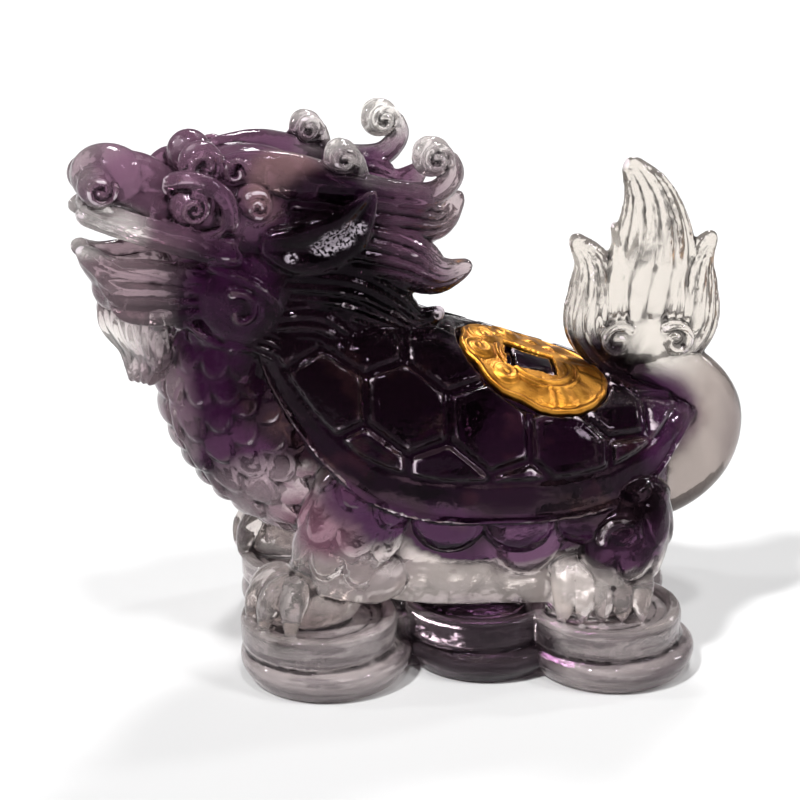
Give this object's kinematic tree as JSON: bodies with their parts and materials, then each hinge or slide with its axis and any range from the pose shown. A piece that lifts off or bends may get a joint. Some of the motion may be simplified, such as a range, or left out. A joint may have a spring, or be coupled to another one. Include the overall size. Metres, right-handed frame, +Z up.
{
  "type": "dragon turtle figure",
  "caption": "Cast glass figure of a dragon-headed turtle with a flame tail, on a plinth of stacked coins, with a gilt coin let into its shell.",
  "frame": {"origin": "middle of the plinth's underside", "axes": "+Z up, the head towards -X, the tail towards +X, and the side that the head turns to is -Y"},
  "size_m": [0.0973, 0.0492, 0.0802],
  "materials": {
    "purple_glass": "polished cast glass, deep purple in the head, neck and shell, clear in the tail, belly, feet and plinth",
    "gilding": "gold leaf with a soft sheen and worn, uneven edges"
  },
  "bodies": {
    "root": {"dragon_turtle": "purple_glass", "gilt_coin": "gilding"}
  },
  "joints": []
}
